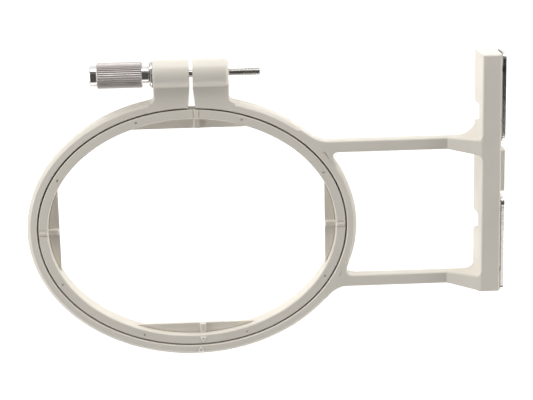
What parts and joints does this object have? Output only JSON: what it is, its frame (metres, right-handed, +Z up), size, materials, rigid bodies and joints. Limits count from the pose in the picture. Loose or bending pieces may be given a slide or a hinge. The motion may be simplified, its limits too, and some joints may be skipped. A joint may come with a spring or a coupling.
{
  "type": "machine embroidery hoop",
  "caption": "Oval split embroidery hoop with a lift-out inner hoop, a knurled clamp screw and two arms to a channel connector with squeeze-together spring clips.",
  "frame": {"origin": "under the middle of the whole hoop, on the plane it lies on", "axes": "+X from the oval towards the connector, +Y towards the clamp screw, +Z up out of the face the fabric is seen on"},
  "size_m": [0.2466, 0.1574, 0.0202],
  "materials": {
    "frame_plastic": "satin moulded, warm light grey",
    "hoop_plastic": "satin moulded, warm light grey",
    "stop_plastic": "satin moulded, beige",
    "bright_plate": "bright plated",
    "steel": "plain bright steel",
    "spring_steel": "drawn spring wire",
    "brass": "turned brass"
  },
  "bodies": {
    "frame": {"outer_frame": "frame_plastic", "centre_stop": "stop_plastic", "stop_screw_1": "steel", "stop_screw_2": "steel", "clamp_nut": "brass", "upper_guide_screw": "steel", "lower_guide_screw": "steel", "upper_latch_spring": "spring_steel", "lower_latch_spring": "spring_steel"},
    "hoop": {"inner_hoop": "hoop_plastic"},
    "washers": {"thrust_washer": "bright_plate", "spring_washer": "steel"},
    "screw": {"clamp_screw": "steel", "knurled_knob": "bright_plate"},
    "upper_clip": {"upper_finger_grip": "bright_plate", "upper_latch_plate": "steel", "upper_grip_rivet": "steel", "upper_grip_washer": "steel"},
    "lower_clip": {"lower_finger_grip": "bright_plate", "lower_latch_plate": "steel", "lower_grip_rivet": "steel", "lower_grip_washer": "steel"}
  },
  "joints": [
    {"name": "hoop_lift", "type": "slide", "parent": "frame", "child": "hoop", "axis": [0, 0, 1], "range_m": [0, 0.025]},
    {"name": "screw_travel", "type": "slide", "parent": "frame", "child": "washers", "axis": [-1, 0, 0], "range_m": [0, 0.007]},
    {"name": "screw_turn", "type": "hinge", "parent": "washers", "child": "screw", "pos_m": [-0.03787, 0.07118, 0.0074], "axis": [-1, 0, 0], "range_deg": [0, 3600]},
    {"name": "upper_clip_squeeze", "type": "slide", "parent": "frame", "child": "upper_clip", "axis": [0, -1, 0], "range_m": [0, 0.0032], "stiffness_N_per_m": 800, "springref_m": -0.005, "deforming": ["upper_latch_spring"]},
    {"name": "lower_clip_squeeze", "type": "slide", "parent": "frame", "child": "lower_clip", "axis": [0, 1, 0], "range_m": [0, 0.0032], "stiffness_N_per_m": 800, "springref_m": -0.005, "deforming": ["lower_latch_spring"]}
  ],
  "couplings": [
    {"joint": "screw_turn", "follows": "screw_travel", "rad_per_m": 8976}
  ]
}
